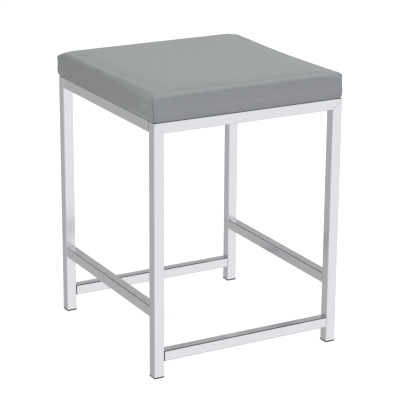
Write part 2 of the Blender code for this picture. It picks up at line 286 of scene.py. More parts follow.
def start_material(name):
    """An empty material, its tree, and the Object coordinates in metres."""
    material = bpy.data.materials.new(name)
    material.use_nodes = True
    tree = material.node_tree
    tree.nodes.clear()
    return material, tree, node(tree, "ShaderNodeTexCoord").outputs["Object"]


def mottle(tree, place, size, detail, **more):
    """Soft noise in patches of about this size."""
    inputs = {"Vector": place, "Scale": 1 / size, "Detail": detail, **more}
    return node(tree, "ShaderNodeTexNoise", inputs).outputs["Fac"]


def cells(tree, place, size, randomness=1.0, feature="F1"):
    """The distance to the middle of a cell, for cells of about this size."""
    inputs = {"Vector": place, "Scale": 1 / size, "Randomness": randomness}
    return node(tree, "ShaderNodeTexVoronoi", inputs, feature=feature).outputs["Distance"]


def relief(tree, height, strength, depth):
    """The normal of a surface that has this height over it."""
    inputs = {"Height": height, "Strength": strength, "Distance": depth}
    return node(tree, "ShaderNodeBump", inputs).outputs["Normal"]


def end_material(material, look):
    """Give the material a Principled shader with this look."""
    shader = node(material.node_tree, "ShaderNodeBsdfPrincipled", look)
    node(material.node_tree, "ShaderNodeOutputMaterial", {"Surface": shader})
    return material


# %% Chrome-plated steel
PLATE = "#e0e1e4"
PLATE_HAZE = (0.16, 0.20)
JOINT_SHADE_WIDTH = 1.6 * MM


def chrome_plated_steel(name, axis=None, joint=0.0, gap_shade_colour="#2c2c2d"):
    """Bright plate on drawn tube: a clear mirror, hazy in patches, barely wavy.

    Where an axis is given, a dark line is painted at the place joint on it: painted shade of
    the gap at a butt joint.
    """
    material, tree, place = start_material(name)
    haze = mottle(tree, place, size=60 * MM, detail=4.0, Roughness=0.6)
    drawn = mottle(tree, place, size=18 * MM, detail=1.0)
    tone = colour(PLATE)
    # With an axis, the base colour darkens in a band at the joint: painted shade of the gap between
    # tubes.
    if axis:
        along = node(tree, "ShaderNodeSeparateXYZ", {0: place}).outputs[axis]
        plated = ranged(tree, along, joint + JOINT_SHADE_WIDTH / 2, joint + JOINT_SHADE_WIDTH)
        tone = tint(tree, plated, gap_shade_colour, PLATE)
    return end_material(material, {
        "Base Color": tone,
        "Metallic": 1.0,
        "Roughness": ranged(tree, haze, *NOISE_BAND, *PLATE_HAZE),
        "Normal": relief(tree, drawn, strength=0.05, depth=0.2 * MM),
    })


chrome = chrome_plated_steel("chrome_plated_steel")
print("finish:", chrome.name)

# %% [markdown]
# ## Square tube
# All twelve members of the frame are the same 20 mm tube, cut to length, some with mitred
# ends. A tube could be a box with a hole cut in it, but a sweep is cleaner: the section of
# the wall, a thin and very long rectangle, runs once round the square. That makes the bore,
# the rounded corners and the eased ends in one go, and the tree's inputs are the real sizes.

# %% Start and end of a tree
def start_tree(name, sizes, result):
    """A tree whose inputs are sizes and a finish. Returns it, its inputs and its sums."""
    tree = bpy.data.node_groups.new(name, "GeometryNodeTree")
    for size in sizes:
        tree.interface.new_socket(size, in_out="INPUT", socket_type="NodeSocketFloat")
    tree.interface.new_socket("Finish", in_out="INPUT", socket_type="NodeSocketMaterial")
    tree.interface.new_socket(result, in_out="OUTPUT", socket_type="NodeSocketGeometry")
    return tree, node(tree, "NodeGroupInput").outputs, sums_in(tree)


def end_tree(tree, geometry, finish):
    """Make the result one smooth mesh with its finish."""
    real = node(tree, "GeometryNodeRealizeInstances", {"Geometry": geometry})
    smooth = node(tree, "GeometryNodeSetShadeSmooth", {"Geometry": real})
    dressed = node(tree, "GeometryNodeSetMaterial", {"Geometry": smooth, "Material": finish})
    node(tree, "NodeGroupOutput", {0: dressed})
    return tree


# %% A tree for square tube
TUBE_WALL = 1.2 * MM
TUBE_CORNER = 1.2 * MM
STRETCHER_CORNER = 2.2 * MM
CORNER_STEPS = 6
EASE_STEPS = 2
TUBE_SIZES = (
    "Length", "Side", "Wall", "Corner radius", "Start ease", "End ease", "Start mitre", "End mitre",
)


def square_tube_tree():
    """Sweep the wall's section round the square, then slant the mitred ends."""
    tree, given, sums = start_tree("square_tube", TUBE_SIZES, "Tube")
    middle = sums("SUBTRACT", given["Side"], given["Wall"])
    middle_radius = sums("SUBTRACT", given["Corner radius"], sums("MULTIPLY", given["Wall"], 0.5))
    square = node(tree, "GeometryNodeCurvePrimitiveQuadrilateral", {"Width": middle, "Height": middle})
    round_square = node(
        tree, "GeometryNodeFilletCurve",
        {"Curve": square, "Count": CORNER_STEPS, "Radius": middle_radius}, mode="POLY",
    )
    level = node(tree, "GeometryNodeSetCurveNormal", {"Curve": round_square}, mode="Z_UP")
    section = node(
        tree, "GeometryNodeCurvePrimitiveQuadrilateral",
        {"Width": given["Wall"], "Height": given["Length"]},
    )
    place = node(tree, "ShaderNodeSeparateXYZ", {0: node(tree, "GeometryNodeInputPosition")})
    far_side = sums("GREATER_THAN", place.outputs["Y"])
    ease = either(tree, far_side, given["Start ease"], given["End ease"])
    eased = node(
        tree, "GeometryNodeFilletCurve",
        {"Curve": section, "Count": EASE_STEPS, "Radius": ease}, mode="POLY",
    )
    swept = node(tree, "GeometryNodeCurveToMesh", {"Curve": level, "Profile Curve": eased})
    shorter = sums("ADD", place.outputs["X"], sums("MULTIPLY", given["Side"], 0.5))
    at_end = sums("GREATER_THAN", place.outputs["Z"])
    minus_end = sums("MULTIPLY", given["End mitre"], -1.0)
    slant = either(tree, at_end, given["Start mitre"], minus_end)
    shift = node(tree, "ShaderNodeCombineXYZ", {"Z": sums("MULTIPLY", slant, shorter)})
    cut = node(tree, "GeometryNodeSetPosition", {"Geometry": swept, "Offset": shift})
    return end_tree(tree, cut, given["Finish"])


tube_tree = square_tube_tree()
print("tree:", tube_tree.name, "with", len(tube_tree.nodes), "nodes")

# %% Turning a tree's result into a piece
MERGE = 0.001 * MM


def grown(name, tree, values, matrix=None):
    """Run a tree once and keep its result as a plain mesh, placed in the frame."""
    seed = bpy.data.objects.new(name + "_seed", bpy.data.meshes.new(name + "_seed"))
    scene.collection.objects.link(seed)
    modifier = seed.modifiers.new("Grow", "NODES")
    modifier.node_group = tree
    for item in tree.interface.items_tree:
        if item.in_out == "INPUT" and item.name in values:
            modifier[item.identifier] = values[item.name]
    graph = bpy.context.evaluated_depsgraph_get()
    mesh = bpy.data.meshes.new_from_object(seed.evaluated_get(graph), depsgraph=graph)
    seed.modifiers.remove(modifier)
    bpy.data.objects.remove(seed)
    if matrix:
        mesh.transform(matrix)
    bm = bmesh.new()
    bm.from_mesh(mesh)
    bmesh.ops.remove_doubles(bm, verts=bm.verts, dist=MERGE)
    bmesh.ops.recalc_face_normals(bm, faces=bm.faces)
    bm.to_mesh(mesh)
    bm.free()
    mesh.name = name
    piece = bpy.data.objects.new(name, mesh)
    scene.collection.objects.link(piece)
    return piece


def seat_piece(piece, slot, *nodes):
    """Every piece rides on the one body and stands for CAD nodes, which it hides. The slot is not used.
    """
    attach(piece, "root")
    if nodes:
        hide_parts(*nodes)


# %% Cut the twelve tubes
FRONT_TO_REAR = ("front", "rear")
LEFT_TO_RIGHT = ("left", "right")
CORNERS = tuple(f"{end}_{side}" for end in FRONT_TO_REAR for side in LEFT_TO_RIGHT)
QUARTER = math.pi / 2
# A tube's end is cut square, mitred, or mitred and dressed flush: its slope, its eased
# edge, and how far it is drawn out to close the joint.
ENDS = {
    "square": (0.0, 0.5 * MM, 0.0),
    "mitred": (1.0, 0.15 * MM, 0.0),
    "flush": (1.0, 0.03 * MM, 0.2 * MM),
}


def tube_member(node_name, turn, axis, start="square", end="square", finish=chrome, corner=TUBE_CORNER):
    """One tube of the frame, with the length and place of its CAD node."""
    low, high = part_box(node_name)
    size = high - low
    start_mitre, start_ease, start_reach = ENDS[start]
    end_mitre, end_ease, end_reach = ENDS[end]
    values = {
        "Length": size[axis] + start_reach + end_reach,
        "Side": min(size),
        "Wall": TUBE_WALL,
        "Corner radius": corner,
        "Start ease": start_ease,
        "End ease": end_ease,
        "Start mitre": start_mitre,
        "End mitre": end_mitre,
        "Finish": finish,
    }
    drawn_out = Matrix.Translation((0, 0, (end_reach - start_reach) / 2))
    matrix = Matrix.Translation((low + high) / 2) @ turn @ drawn_out
    piece = grown("tube_" + node_name, tube_tree, values, matrix)
    flat_faces = piece.modifiers.new("Flat faces", "WEIGHTED_NORMAL")
    flat_faces.weight = 100
    seat_piece(piece, "frame_chrome", node_name)
    return piece


def cut_tubes():
    upright = {"left": Matrix.Identity(4), "right": Matrix.Rotation(math.pi, 4, "Z")}
    along_x = Matrix.Rotation(QUARTER, 4, "Y")
    along_y = Matrix.Rotation(QUARTER, 4, "X")
    cut = {corner: "mitred" for corner in CORNERS}
    cut["front_left"] = "flush"
    # Stretchers and side rails get a dark line painted at one butt joint: painted shade of the joint gap.
    joint_shade_chrome = chrome_plated_steel("chrome_plated_steel_joint_shade", "X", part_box("stretcher_front")[0].x)
    rail_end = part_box("top_rail_left")[0].y
    rail_joint_shade_chrome = chrome_plated_steel("chrome_plated_steel_rail_joint_shade", "Y", rail_end, "#b0b0b2")
    made = []
    for end in FRONT_TO_REAR:
        for side in LEFT_TO_RIGHT:
            made.append(tube_member(f"leg_{end}_{side}", upright[side], 2, end=cut[f"{end}_{side}"]))
        made.append(tube_member(f"top_rail_{end}", along_x, 0, cut[end + "_left"], cut[end + "_right"]))
        made.append(tube_member(f"stretcher_{end}", along_x, 0, finish=joint_shade_chrome, corner=STRETCHER_CORNER))
    for side in LEFT_TO_RIGHT:
        made.append(tube_member(f"top_rail_{side}", along_y, 1, finish=rail_joint_shade_chrome))
        made.append(tube_member(f"stretcher_{side}", along_y, 1, corner=STRETCHER_CORNER))
    return made


tubes = cut_tubes()
print("tubes:", len(tubes), "faces each:", len(tubes[0].data.polygons))

# %% [markdown]
# ## Small hardware
# The glides, corner plates, screws, washers and tee nuts already have their true shapes in
# the frame, so they only need their finishes. Moulded plastic is matt with a fine spark
# texture. Zinc plate on small hardware is a cloudy, slightly blue metal.

# %% Moulded polypropylene
def moulded_polypropylene():
    """Black moulding with a fine eroded texture: dark, and soft in its shine."""
    material, tree, place = start_material("moulded_polypropylene_black")
    spark = mottle(tree, place, size=0.5 * MM, detail=3.0)
    scuff = mottle(tree, place, size=6 * MM, detail=5.0)
    return end_material(material, {
        "Base Color": tint(tree, scuff, "#050505", "#0f0f10"),
        "Roughness": 0.7,
        "IOR": 1.49,
        "Normal": relief(tree, spark, strength=0.25, depth=0.05 * MM),
    })


# %% Zinc-plated steel
ZINC_CLOUD = (0.22, 0.42)


def zinc_plated_steel():
    """Barrel-plated fasteners: pale metal with cloudy patches and a blue cast."""
    material, tree, place = start_material("zinc_plated_steel")
    cloud = mottle(tree, place, size=2.5 * MM, detail=4.0)
    return end_material(material, {
        "Base Color": tint(tree, cloud, "#aeb3ba", "#d2d4d4"),
        "Metallic": 1.0,
        "Roughness": ranged(tree, cloud, 0.0, 1.0, *ZINC_CLOUD),
    })


# %% Finish the hardware
def finish_nodes(material, *names):
    """Give CAD nodes that keep their shape a finish."""
    for name in names:
        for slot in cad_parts[name].material_slots:
            slot.material = material


glide_black = moulded_polypropylene()
zinc = zinc_plated_steel()
for corner in CORNERS:
    finish_nodes(glide_black, f"glide_{corner}")
    finish_nodes(chrome, f"corner_plate_{corner}")
    finish_nodes(zinc, f"seat_screw_{corner}", f"washer_{corner}", f"tee_nut_{corner}")
print("hardware finished at", len(CORNERS), "corners")

# %% [markdown]
# ## The seat cover
# The cover is one top panel and a side band of grey vinyl, sewn at the corners, pulled down
# over foam and stapled under the board. It starts as a grid: the top panel is a net of
# cells, crowded towards its edges, and rings of the same points run down the sides and
# under the board. So every corner seam is one column of the grid and can be shaped later.

# %% The cover as a grid
COVER_LOW, COVER_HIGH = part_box("seat_cover")
HALF = np.array((COVER_HIGH.x, COVER_HIGH.y))
CORNER_SIGNS = {
    "front_left": (-1, -1),
    "front_right": (1, -1),
    "rear_right": (1, 1),
    "rear_left": (-1, 1),
}


def at_corners(*values):
    """One value for each corner: front left, front right, rear right and rear left."""
    return dict(zip(CORNER_SIGNS, values))


EDGE_RADIUS = {"front": 3.4 * MM, "right": 8 * MM, "rear": 11.5 * MM, "left": 4.5 * MM}
LEFT_ROLL = 13 * MM
PINCHED_RADIUS = at_corners(3 * MM, 3 * MM, 10 * MM, 3 * MM)
PINCH_REACH = 12 * MM
PLAN_RADIUS = at_corners(5 * MM, 9 * MM, 18 * MM, 4 * MM)
PLAN_RADIUS_ENDS = 3
TUCK_RADIUS = 3.6 * MM
SWELL_ROOM = 3.58 * MM
TOP_LEVEL = round(COVER_HIGH.z - SWELL_ROOM, 4)
CELLS = 64
CROWDING = 0.85
EDGE_ROWS = 4
WALL_ROWS = 12
TUCK_ROWS = 3
HEM_ROWS = 4
HEM_WIDTH = 32 * MM
HEM_CORNER = 1 * MM


def by_corner(values, x, y):
    """Blend a value that is given at the four corners over the whole seat."""
    right = (x / HALF[0] + 1) / 2
    rear = (y / HALF[1] + 1) / 2
    at_front = values["front_left"] * (1 - right) + values["front_right"] * right
    at_rear = values["rear_left"] * (1 - right) + values["rear_right"] * right
    return at_front * (1 - rear) + at_rear * rear


def side_of(x, y):
    """The name of the side that a point of the seat's edge lies on."""
    if abs(x) / HALF[0] > abs(y) / HALF[1]:
        return "left" if x < 0 else "right"
    return "front" if y < 0 else "rear"


def edge_radius(x, y):
    """The top edge's rounding: full along a side, pinched where a seam ends in a corner."""
    from_corner = np.linalg.norm(HALF - np.abs((x, y)))
    pinch = math.exp(-((from_corner / PINCH_REACH) ** 2))
    side = side_of(x, y)
    radius = EDGE_RADIUS[side]
    if side == "left":
        radius += LEFT_ROLL * max(-y / HALF[1], 0)
    return radius * (1 - pinch) + by_corner(PINCHED_RADIUS, x, y) * pinch


def outline(edge_point, inset, radius):
    """Where a point of the seat's square edge lies on an outline that is inset and rounded."""
    half = HALF - inset
    point = np.array(edge_point) * half / HALF
    core = np.clip(point, radius - half, half - radius)
    out = point - core
    length = np.linalg.norm(out)
    return core + out * radius / length if length > 0 else point


def top_point(x, y):
    """A point of the top panel. Near the edge it bends down, to 45 degrees at the edge itself.

    The rounding of the corners in plan fades out a few edge radii further in.
    """
    inside = min(HALF[0] - abs(x), HALF[1] - abs(y))
    edge_point = np.array((x, y)) * HALF / (HALF - inside) if inside < min(HALF) else np.array((x, y))
    radius = edge_radius(*edge_point)
    if inside >= PLAN_RADIUS_ENDS * radius:
        return (x, y, TOP_LEVEL)
    angle = math.atan2(radius, max(radius - inside, 0.0))
    bend = radius * (1 - math.cos(angle))
    fade = (PLAN_RADIUS_ENDS - inside / radius) / (PLAN_RADIUS_ENDS - 1)
    rounding = by_corner(PLAN_RADIUS, *edge_point) * min(1.0, fade)
    plan = outline(edge_point, max(bend, inside) if inside >= radius else bend, rounding)
    return (*plan, TOP_LEVEL - radius * (1 - math.sin(angle)))


def side_levels(radius):
    """(inset, height) of each ring of the cover, from below the top edge to the hem's edge."""
    levels = []
    half_turn = math.sin(math.pi / 4)
    edge = TOP_LEVEL - radius * (1 - half_turn)
    for row in range(1, EDGE_ROWS + 1):
        angle = math.atan(1 - row / EDGE_ROWS)
        levels.append((radius * (1 - math.cos(angle)), edge - radius * (half_turn - math.sin(angle))))
    wall_top = levels[-1][1]
    wall_low = COVER_LOW.z + TUCK_RADIUS
    for row in range(1, WALL_ROWS + 1):
        levels.append((0.0, wall_top + (wall_low - wall_top) * row / WALL_ROWS))
    for row in range(1, TUCK_ROWS + 1):
        angle = QUARTER * row / TUCK_ROWS
        levels.append((TUCK_RADIUS * (1 - math.cos(angle)), wall_low - TUCK_RADIUS * math.sin(angle)))
    for row in range(1, HEM_ROWS + 1):
        levels.append((TUCK_RADIUS + (HEM_WIDTH - TUCK_RADIUS) * row / HEM_ROWS, COVER_LOW.z))
    return levels


def cover_grid():
    """Points and faces of the cover, and the rings of point numbers round it, edge first."""
    steps = np.linspace(-1, 1, CELLS + 1)
    spread = (1 - CROWDING) * steps + CROWDING * np.sin(steps * QUARTER)
    xs, ys = spread * HALF[0], spread * HALF[1]
    points = [top_point(x, y) for y in ys for x in xs]
    wide = CELLS + 1
    faces = [
        (j * wide + i, j * wide + i + 1, (j + 1) * wide + i + 1, (j + 1) * wide + i)
        for j in range(CELLS) for i in range(CELLS)
    ]
    walk = [(i, 0) for i in range(CELLS)] + [(CELLS, j) for j in range(CELLS)]
    walk += [(CELLS - i, CELLS) for i in range(CELLS)] + [(0, CELLS - j) for j in range(CELLS)]
    rings = [[j * wide + i for i, j in walk]]
    columns = [side_levels(edge_radius(xs[i], ys[j])) for i, j in walk]
    for row in range(len(columns[0])):
        first = len(points)
        for (i, j), levels in zip(walk, columns):
            inset, height = levels[row]
            corner = max(by_corner(PLAN_RADIUS, xs[i], ys[j]) - inset, HEM_CORNER)
            points.append((*outline((xs[i], ys[j]), inset, corner), height))
        rings.append(list(range(first, first + len(walk))))
    for upper, lower in zip(rings, rings[1:]):
        for a in range(len(walk)):
            b = (a + 1) % len(walk)
            faces.append((upper[a], lower[a], lower[b], upper[b]))
    return points, faces, rings


cover_points, cover_faces, cover_rings = cover_grid()
print("cover grid:", len(cover_points), "points,", len(cover_rings), "rings")

# %% [markdown]
# ## Letting the vinyl settle
# Foam pushes the cover out and the cover holds it in. Blender's cloth does the same with
# air: the points under the board are held, pressure fills the rest, and the cloth's own
# stiffness decides where it swells. How far a point may move is limited, because tight
# vinyl on firm foam hardly gives, and where the cloth pulls inwards the foam pushes back.

# %% Cloth under pressure
BOARD_LOW, BOARD_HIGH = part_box("seat_board")
HELD_WALL_ROWS = 4
HELD_ROWS = HELD_WALL_ROWS + TUCK_ROWS + HEM_ROWS
SETTLE_FRAMES = 20
MOST_SWELL = 4 * MM
PRESSED_IN = 0.3


def make_cover():
    mesh = bpy.data.meshes.new("seat_cover_vinyl")
    mesh.from_pydata([tuple(map(float, p)) for p in cover_points], [], cover_faces)
    mesh.update()
    piece = bpy.data.objects.new("seat_cover_vinyl", mesh)
    scene.collection.objects.link(piece)
    return piece


def points_of(mesh):
    flat = np.empty(len(mesh.vertices) * 3, np.float32)
    mesh.vertices.foreach_get("co", flat)
    return flat.reshape(-1, 3).astype(float)


def outward(mesh):
    """Each point's normal."""
    flat = np.empty(len(mesh.vertices) * 3, np.float32)
    mesh.vertex_normals.foreach_get("vector", flat)
    return flat.reshape(-1, 3).astype(float)


def settle(piece):
    """Swell the cover with pressure, and limit how far each point went."""
    before = points_of(piece.data)
    normals = outward(piece.data)
    held = piece.vertex_groups.new(name="held")
    held.add([p for ring in cover_rings[-HELD_ROWS:] for p in ring], 1.0, "REPLACE")
    cloth = piece.modifiers.new("Settle", "CLOTH")
    vinyl = cloth.settings
    vinyl.quality = 6
    vinyl.mass = 0.3
    vinyl.tension_stiffness = 25
    vinyl.compression_stiffness = 25
    vinyl.shear_stiffness = 15
    vinyl.bending_stiffness = 1.0
    vinyl.vertex_group_mass = "held"
    vinyl.use_pressure = True
    vinyl.uniform_pressure_force = 4
    vinyl.effector_weights.gravity = 0
    cloth.point_cache.frame_start = 1
    cloth.point_cache.frame_end = SETTLE_FRAMES
    for number in range(1, SETTLE_FRAMES + 1):
        scene.frame_set(number)
    graph = bpy.context.evaluated_depsgraph_get()
    after = points_of(piece.evaluated_get(graph).data)
    piece.modifiers.remove(cloth)
    piece.vertex_groups.remove(held)
    scene.frame_set(1)
    move = after - before
    far = np.linalg.norm(move, axis=1, keepdims=True)
    limited = move * MOST_SWELL / (MOST_SWELL + far)
    inward = np.minimum((limited * normals).sum(axis=1, keepdims=True), 0)
    return before + limited - normals * inward * (1 - PRESSED_IN), far.max()


cover = make_cover()
shape, furthest = settle(cover)
print("cloth moved up to", round(furthest / MM, 1), "mm before the limit")

# %% [markdown]
# ## Corners, seams and puckers
# What a simulation of this size can't give is put in as an upholsterer would. The
# right edge of the top sags, the left edge leans in between its corners, and the sides draw
# in a little. Where the band is sewn tight a corner droops. Only the front left one stands
# up, with a small hollow behind it. The lower ends of the corners are folded in under the
# board. Then each seam becomes a fine groove with a roll of foam beside it, and short
# puckers fan out from its upper end.

# %% Shape the corners
DROOP = at_corners(-2.5 * MM, 7.5 * MM, 4.5 * MM, 10.5 * MM)
DROOP_REACH = at_corners(14 * MM, 20 * MM, 36 * MM, 34 * MM)
DROOP_POWER = 2
RIGHT_SAG = 3.5 * MM
RIGHT_SAG_FROM = 0.5
RIGHT_SAG_POWER = 1.5
LEFT_LEAN = 5 * MM
LEFT_LEAN_REACH = 60 * MM
LEFT_LEAN_STARTS = (3 * MM, 25 * MM)
HOLLOW = 3.5 * MM
HOLLOW_REACH = 11 * MM
HOLLOW_STARTS = (2 * MM, 10 * MM)
STAND = at_corners(1.2 * MM, 0.0, 0.0, 1.2 * MM)
STAND_REACH = 30 * MM
EAR = at_corners(0.0, 0.0, 0.0, 1.2 * MM)
EAR_REACH = 12 * MM
EAR_RISE = (0.4, 0.95)
FOLD = at_corners(1.0 * MM, 2.0 * MM, 2.0 * MM, 2.5 * MM)
FOLD_REACH = 20 * MM
FOLD_HEIGHT = 6.5 * MM
FOLD_POWER = 1.5
SIDE_DRAW = 0.4 * MM
SIDE_DRAW_EDGE = (0.93, 0.99)


def ramp(values, low, high):
    """Smooth step from 0 at low to 1 at high."""
    t = np.clip((values - low) / (high - low), 0, 1)
    return t * t * (3 - 2 * t)


def fold_corners_under(co):
    """Each corner's lower end is folded in. The board's corners are cut back to match."""
    low = np.clip(1 - (co[:, 2] - COVER_LOW.z) / FOLD_HEIGHT, 0, 1) ** FOLD_POWER
    for corner, signs in CORNER_SIGNS.items():
        reach = np.linalg.norm(co[:, :2] - np.array(signs) * HALF, axis=1)
        fold = FOLD[corner] * ramp(reach, FOLD_REACH, 0) * low
        co[:, :2] -= fold[:, None] * np.array(signs) / math.sqrt(2)
    return co


def shape_sides(co, rise):
    """Draw the sides in, let the right edge sag and lean the left edge in."""
    along = np.abs(co[:, :2]) / HALF
    belly = np.sin(math.pi * rise) * SIDE_DRAW
    for axis in (0, 1):
        at_side = ramp(along[:, axis], *SIDE_DRAW_EDGE)
        co[:, axis] -= np.sign(co[:, axis]) * belly * at_side * (1 - along[:, 1 - axis] ** 2)
    at_right = ramp(co[:, 0] / HALF[0], RIGHT_SAG_FROM, 1.0)
    mid_right = np.clip(1 - along[:, 1] ** 2, 0, 1) ** RIGHT_SAG_POWER
    co[:, 2] -= RIGHT_SAG * at_right * mid_right * rise**2
    at_left = ramp(HALF[0] + co[:, 0], LEFT_LEAN_REACH, 0)
    from_ends = ramp(HALF[1] - np.abs(co[:, 1]), *LEFT_LEAN_STARTS)
    co[:, 0] += LEFT_LEAN * at_left * from_ends * rise**2
    return co


def shape_corners(co):
    """Raise the front left corner above a hollow, droop the others and pull the left ones out."""
    rise = np.clip((co[:, 2] - BOARD_HIGH.z) / (TOP_LEVEL - BOARD_HIGH.z), 0, 1)
    co = shape_sides(co, rise)
    away = np.linalg.norm(co[:, :2] + HALF, axis=1) / HOLLOW_REACH
    behind_seam = ramp(HALF[1] + co[:, 1], *HOLLOW_STARTS)
    co[:, 2] -= HOLLOW * away * np.exp(1 - away) * behind_seam * rise**2
    for corner, signs in CORNER_SIGNS.items():
        reach = np.linalg.norm(co[:, :2] - np.array(signs) * HALF, axis=1)
        near = np.clip(1 - reach / DROOP_REACH[corner], 0, 1) ** DROOP_POWER
        co[:, 2] -= DROOP[corner] * near * rise**2
        ear = EAR[corner] * ramp(reach, EAR_REACH, 0) * ramp(rise, *EAR_RISE)
        stand = STAND[corner] * ramp(reach, STAND_REACH, 0) * ramp(co[:, 2], BOARD_LOW.z, BOARD_HIGH.z)
        co[:, :2] += (ear + stand)[:, None] * np.array(signs) / math.sqrt(2)
    return fold_corners_under(co)


shape = shape_corners(shape)
print("cover now reaches", round(shape[:, 2].max() / MM, 1), "mm")

# %% Seams, puckers and waves
SEAM_SINK = 0.35 * MM
FRONT_ROLL = 0.4 * MM
FRONT_ROLL_WIDTH = 6 * MM
SIDE_ROLL = at_corners(5.0 * MM, 1.0 * MM, 1.0 * MM, 1.0 * MM)
SIDE_ROLL_WIDTH = 24 * MM
ROLL_CELLS = 31
ROLL_STARTS = (1 * MM, 24 * MM)
PUCKER = at_corners(1.8 * MM, 1.4 * MM, 0.5 * MM, 0.5 * MM)
PUCKER_REACH = 6 * MM
PUCKER_ENDS = 5 * PUCKER_REACH
PUCKER_FOLDS = 6
PUCKER_SLANT = 0.3
WAVE = 0.35 * MM
WAVE_LENGTH = 38 * MM
WAVE_LOST_ON_TOP = 0.7


def put_back(mesh, co):
    mesh.vertices.foreach_set("co", co.astype(np.float32).ravel())
    mesh.update()


def wave(co, normals):
    """Tight vinyl is never quite flat: slow waves, strongest on the sides."""
    swing = np.array([noise.noise(Vector(p) / WAVE_LENGTH) for p in co])
    upright = 1 - WAVE_LOST_ON_TOP * np.abs(normals[:, 2])
    above = ramp(co[:, 2], BOARD_HIGH.z, BOARD_HIGH.z + FOLD_HEIGHT)
    return co + normals * (WAVE * swing * upright * above)[:, None]


def pucker(co, normals):
    """Short folds that fan out from the top of each seam."""
    for number, (corner, signs) in enumerate(CORNER_SIGNS.items()):
        away = co - co[cover_rings[0][number * CELLS]]
        reach = np.linalg.norm(away, axis=1)
        along_x = -away[:, 0] * signs[0]
        along_y = -away[:, 1] * signs[1]
        turn = np.arctan2(along_y - away[:, 2], along_x - away[:, 2] * PUCKER_SLANT)
        swell = reach / PUCKER_REACH * np.exp(1 - reach / PUCKER_REACH) * (reach < PUCKER_ENDS)
        fold = np.sin(turn * PUCKER_FOLDS + number) * swell * PUCKER[corner] / 2
        co = co + normals * fold[:, None]
    return co


def sew_seams(co, normals):
    """Sink each corner's column of points. Beside it the foam puffs up, most on the side faces."""
    moved = co.copy()
    for number, corner in enumerate(CORNER_SIGNS):
        column = number * CELLS
        rolls = ((FRONT_ROLL, FRONT_ROLL_WIDTH), (SIDE_ROLL[corner], SIDE_ROLL_WIDTH))
        for ring in cover_rings[1:-HEM_ROWS]:
            seam = ring[column]
            firm = ramp(co[seam, 2], BOARD_LOW.z, BOARD_HIGH.z)
            firm *= ramp(TOP_LEVEL - co[seam, 2], *ROLL_STARTS)
            moved[seam] -= normals[seam] * SEAM_SINK
            for step in (-1, 1):
                on_side = (number + (step < 0)) % 2
                roll, width = rolls[on_side]
                for cell in range(1, ROLL_CELLS):
                    p = ring[(column + step * cell) % len(ring)]
                    away = np.linalg.norm(co[p] - co[seam]) / width
                    moved[p] += normals[p] * roll * firm * away * math.exp(1 - away)
    return moved


for sculpt in (wave, pucker, sew_seams):
    put_back(cover.data, shape)
    shape = sculpt(shape, outward(cover.data))
put_back(cover.data, shape)
print("seams:", len(CORNER_SIGNS))

# %% [markdown]
# ## Grey vinyl
# The cover is PVC leathercloth: a knitted back with a smooth grey skin, embossed with a
# fine pebble grain. From a step away the grain only breaks the shine. Its colour is even,
# a little cooler than neutral. Along each seam the colour is darkened: painted shade for the
# groove, where little light gets in.

# %% PVC leathercloth
VINYL_SATIN = (0.28, 0.34)
SEAM_SHADE_EDGE = (0.45, 0.95)


def pvc_leathercloth():
    """Embossed vinyl: even cool grey, satin, with pebbles of about a millimetre."""
    material, tree, place = start_material("pvc_leathercloth_grey")
    pebble = cells(tree, place, size=1.3 * MM, feature="SMOOTH_F1")
    cloud = mottle(tree, place, size=70 * MM, detail=3.0)
    skin = tint(tree, cloud, "#7b7f7e", "#818584")
    # The seam attribute darkens the vinyl's colour along each seam: painted shade in the groove.
    seam = node(tree, "ShaderNodeAttribute", attribute_name="seam").outputs["Fac"]
    groove = ranged(tree, seam, *SEAM_SHADE_EDGE)
    return end_material(material, {
        "Base Color": tint(tree, groove, skin, "#484a4a"),
        "Roughness": ranged(tree, cloud, *NOISE_BAND, *VINYL_SATIN),
        "IOR": 1.53,
        "Normal": relief(tree, pebble, strength=0.10, depth=0.15 * MM),
    })


# %% Finish the cover
COVER_THICKNESS = 1.0 * MM
TIP_CREASE = at_corners(1.0, 0.0, 0.0, 1.0)
SEAM_SHADE = {-1: 0.5, 0: 1.0, 1: 0.5}


def finish_cover(piece):
    mesh = piece.data
    seam = mesh.attributes.new("seam", "FLOAT", "POINT")
    pointed = mesh.attributes.new("crease_vert", "FLOAT", "POINT")
    for number, corner in enumerate(CORNER_SIGNS):
        pointed.data[cover_rings[0][number * CELLS]].value = TIP_CREASE[corner]
        # Points on and beside each seam get the value that paints shade into the vinyl's colour.
        for ring in cover_rings[EDGE_ROWS + 1 : -HEM_ROWS]:
            for step, dark in SEAM_SHADE.items():
                seam.data[ring[(number * CELLS + step) % len(ring)]].value = dark
    dress(piece, pvc_leathercloth())
    finer = piece.modifiers.new("Finer", "SUBSURF")
    finer.levels = 1
    finer.render_levels = 1
    skin = piece.modifiers.new("Skin", "SOLIDIFY")
    skin.thickness = COVER_THICKNESS
    skin.offset = -1
    seat_piece(piece, "cover_vinyl", "seat_cover")


finish_cover(cover)
print("cover finished:", [round(x / MM) for x in cover.dimensions], "mm")

# %% [markdown]
# ## Plywood board
# The seat board is 12 mm birch plywood, with its lower edge rounded over and its corners cut
# back so that the folded vinyl finds room. It is a stack of the same rounded outlines as the
# cover, with pockets for the tee nuts cut by Boolean. Its plies show as thin layers on the
# edge, and the face veneer has long soft grain: height picks the ply, and a noise that is
# stretched along X draws the grain.

# %% Birch plywood
PLY = 2.4 * MM
GRAIN_SIZE = Vector((120 * MM, 4 * MM, 4 * MM))


